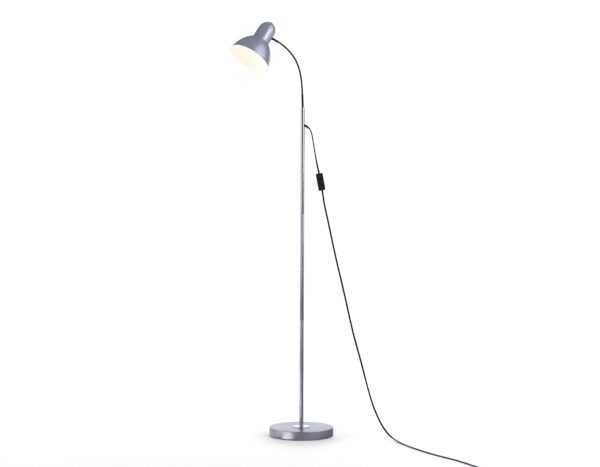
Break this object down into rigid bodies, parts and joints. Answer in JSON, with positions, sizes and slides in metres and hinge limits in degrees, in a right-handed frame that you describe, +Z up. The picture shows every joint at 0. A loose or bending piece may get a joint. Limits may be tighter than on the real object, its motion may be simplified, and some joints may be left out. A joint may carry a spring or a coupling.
{
  "type": "gooseneck reading floor lamp",
  "caption": "Floor lamp with a round weighted base, a slim sectional pole, a flexible gooseneck, a dome shade on a rounded socket cup and an inline rocker switch on its cord.",
  "frame": {"origin": "centre of the base's underside, on the floor", "axes": "+Z up along the pole; the gooseneck and shade reach out over -X; the cord leaves towards +X and -Y"},
  "size_m": [0.8591, 0.8626, 1.4461],
  "materials": {
    "floor_pad": "matt foam rubber",
    "cast_weight": "rough cast",
    "brushed_steel": "fine brushed",
    "polished_steel": "polished",
    "zinc_steel": "zinc plated",
    "silver_paint": "satin silver paint",
    "neck_sleeve": "satin black sleeve",
    "black_plastic": "satin black",
    "cord_sheath": "soft black sheath",
    "ceramic": "unglazed white",
    "brass": "bare brass",
    "bulb_metal": "bright",
    "pin_metal": "nickel plated",
    "opal_glass": "frosted, lit"
  },
  "bodies": {
    "stand": {"base_pad": "floor_pad", "base_weight": "cast_weight", "base_cover": "brushed_steel", "base_bolt": "zinc_steel", "base_washer": "zinc_steel", "pole_collar": "polished_steel", "pole_foot_insert": "zinc_steel", "pole_lower": "brushed_steel", "pole_middle": "brushed_steel", "pole_upper": "brushed_steel", "joint_nipple_lower": "zinc_steel", "joint_nipple_upper": "zinc_steel", "pole_top_bush": "zinc_steel", "inner_lead": "cord_sheath", "cord_relief": "black_plastic", "neck_lower_ferrule": "black_plastic", "neck_foot": "neck_sleeve", "switch_front": "black_plastic", "switch_back": "black_plastic", "rocker_pin": "zinc_steel", "switch_contact_block": "ceramic", "switch_screw_1": "zinc_steel", "switch_screw_2": "zinc_steel", "cord_upper": "cord_sheath", "cord_lower": "cord_sheath", "cord_coil": "cord_sheath", "cord_tie": "black_plastic", "plug_relief": "black_plastic", "plug_body": "black_plastic", "plug_pin_1": "pin_metal", "plug_pin_2": "pin_metal"},
    "link_1": {"neck_link_1": "neck_sleeve"},
    "link_2": {"neck_link_2": "neck_sleeve"},
    "link_3": {"neck_link_3": "neck_sleeve"},
    "link_4": {"neck_link_4": "neck_sleeve"},
    "link_5": {"neck_link_5": "neck_sleeve"},
    "link_6": {"neck_link_6": "neck_sleeve"},
    "link_7": {"neck_link_7": "neck_sleeve"},
    "head": {"neck_tip": "neck_sleeve", "neck_upper_ferrule": "black_plastic", "neck_nut": "zinc_steel", "socket_cup": "silver_paint", "crown_nut": "silver_paint", "holder_stem": "zinc_steel", "holder_cap": "black_plastic", "holder_skirt": "black_plastic", "holder_ceramic": "ceramic", "holder_shell": "brass", "holder_contact": "brass", "shade": "silver_paint", "shade_ring": "black_plastic", "bulb_cap": "bulb_metal", "bulb_glass": "opal_glass"},
    "rocker": {"switch_rocker": "black_plastic"}
  },
  "joints": [
    {"name": "neck_bend_1", "type": "hinge", "parent": "stand", "child": "link_1", "pos_m": [-0.00175, 0, 1.19777], "axis": [0, -1, 0], "range_deg": [-24, 17]},
    {"name": "neck_sway_2", "type": "hinge", "parent": "link_1", "child": "link_2", "pos_m": [-0.00323, 0, 1.22342], "axis": [0.9968, 0, 0.0804], "range_deg": [-23, 23]},
    {"name": "neck_bend_3", "type": "hinge", "parent": "link_2", "child": "link_3", "pos_m": [-0.0062, 0, 1.24895], "axis": [0, -1, 0], "range_deg": [-24, 17]},
    {"name": "neck_sway_4", "type": "hinge", "parent": "link_3", "child": "link_4", "pos_m": [-0.01129, 0, 1.27413], "axis": [0.9695, 0, 0.245], "range_deg": [-23, 23]},
    {"name": "neck_bend_5", "type": "hinge", "parent": "link_4", "child": "link_5", "pos_m": [-0.0192, 0, 1.29856], "axis": [0, -1, 0], "range_deg": [-24, 17]},
    {"name": "neck_sway_6", "type": "hinge", "parent": "link_5", "child": "link_6", "pos_m": [-0.03071, 0, 1.3215], "axis": [0.8519, 0, 0.5237], "range_deg": [-23, 23]},
    {"name": "neck_bend_7", "type": "hinge", "parent": "link_6", "child": "link_7", "pos_m": [-0.04593, 0, 1.34217], "axis": [0, -1, 0], "range_deg": [-24, 17]},
    {"name": "neck_sway_8", "type": "hinge", "parent": "link_7", "child": "head", "pos_m": [-0.0642, 0, 1.36021], "axis": [0.6487, 0, 0.7611], "range_deg": [-23, 23]},
    {"name": "rocker_tilt", "type": "hinge", "parent": "stand", "child": "rocker", "pos_m": [0.06324, -0.02199, 0.88811], "axis": [0.9829, 0, 0.184], "range_deg": [-16, 0]}
  ]
}
